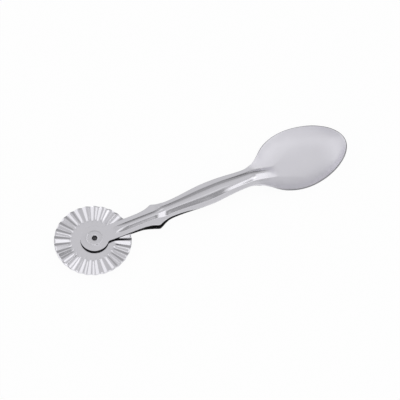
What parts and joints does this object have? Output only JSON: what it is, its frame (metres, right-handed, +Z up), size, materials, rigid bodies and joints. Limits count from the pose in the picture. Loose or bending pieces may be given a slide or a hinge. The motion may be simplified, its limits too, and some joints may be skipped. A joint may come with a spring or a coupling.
{
  "type": "pastry crimper wheel",
  "caption": "Pressed-steel pastry tool: a fluted crimping wheel turns in a fork at one end of a hollow ribbed handle, and a shallow spoon bowl forms the other end.",
  "frame": {"origin": "centre of the bounding box on the table that the tool lies on", "axes": "+X along the tool from the wheel to the spoon tip, +Y across it, +Z up out of the hollow of the spoon, along the wheel's axle"},
  "size_m": [0.1748, 0.043, 0.0076],
  "materials": {
    "shell_steel": "bright pressed sheet, lightly tumbled",
    "wheel_steel": "bright pressed sheet",
    "rivet_steel": "plated, slightly dulled",
    "inner_steel": "plain turned steel"
  },
  "bodies": {
    "handle": {"spoon_shell": "shell_steel", "under_shell": "shell_steel", "axle_rivet": "rivet_steel", "axle_bush": "inner_steel", "upper_washer": "inner_steel", "lower_washer": "inner_steel"},
    "wheel": {"crimping_wheel": "wheel_steel"}
  },
  "joints": [
    {"name": "wheel_spin", "type": "hinge", "parent": "handle", "child": "wheel", "pos_m": [-0.06576, 0, 0.003], "axis": [0, 0, 1], "continuous": true}
  ]
}
